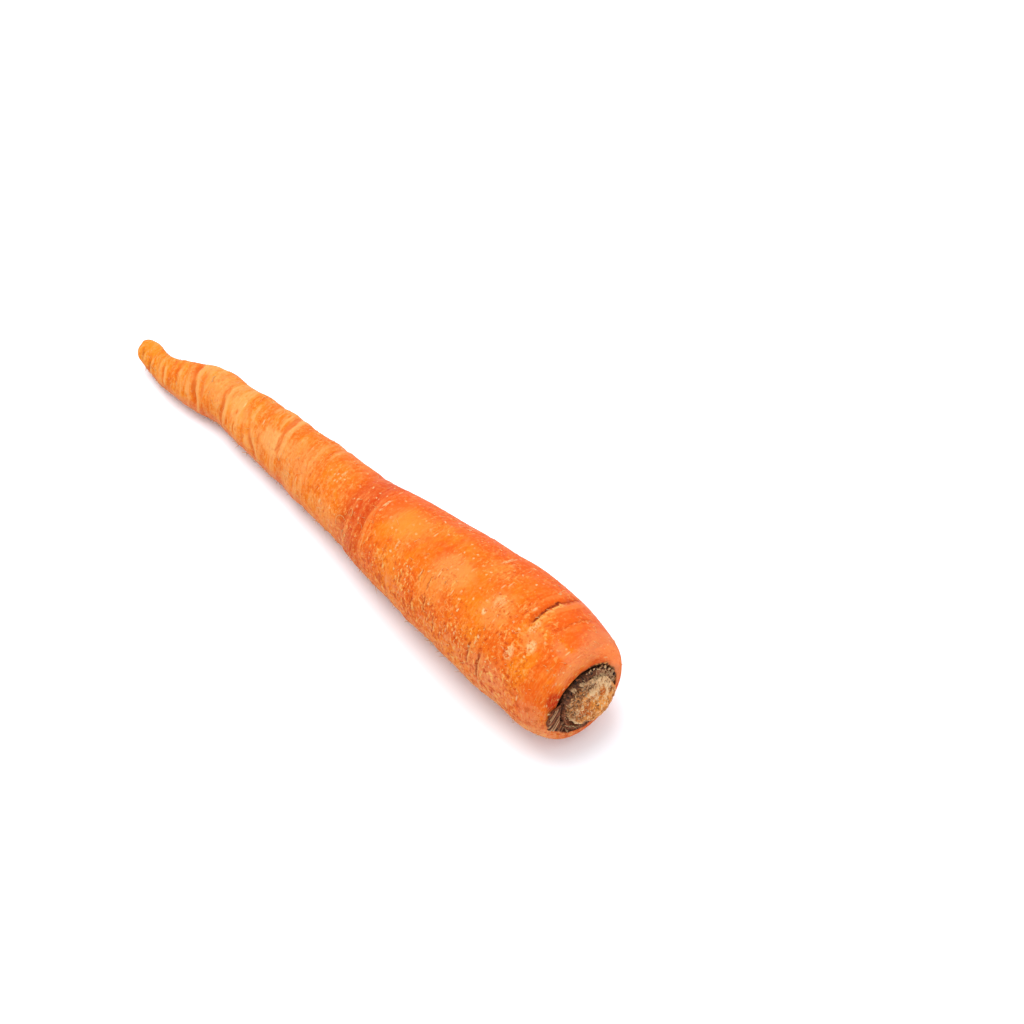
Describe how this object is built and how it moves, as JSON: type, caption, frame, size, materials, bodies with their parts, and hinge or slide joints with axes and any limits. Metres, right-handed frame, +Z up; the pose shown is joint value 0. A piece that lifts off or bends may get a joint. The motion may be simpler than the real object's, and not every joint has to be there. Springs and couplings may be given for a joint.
{
  "type": "carrot",
  "caption": "Whole carrot lying on its side: a tapering, creased taproot with the dried, trimmed remains of its leaf stalks in the hollow of its crown.",
  "frame": {"origin": "under the middle of the whole carrot's box, on the surface that it lies on", "axes": "+X along the carrot from the tip to the crown, +Z up, +Y to the left of someone looking from the tip to the crown"},
  "size_m": [0.2162, 0.0372, 0.037],
  "materials": {
    "carrot_skin": "satin, waxy orange skin with fine growth rings, pale pores and dry scuffs",
    "dried_stalk": "dry, dark, papery stalk bases with fine fibres",
    "cut_stalk": "dry tan cut face, rough and fibrous, with orange flecks"
  },
  "bodies": {
    "root": {"taproot": "carrot_skin", "stalk_collar": "dried_stalk", "stalk_butt": "cut_stalk"}
  },
  "joints": []
}
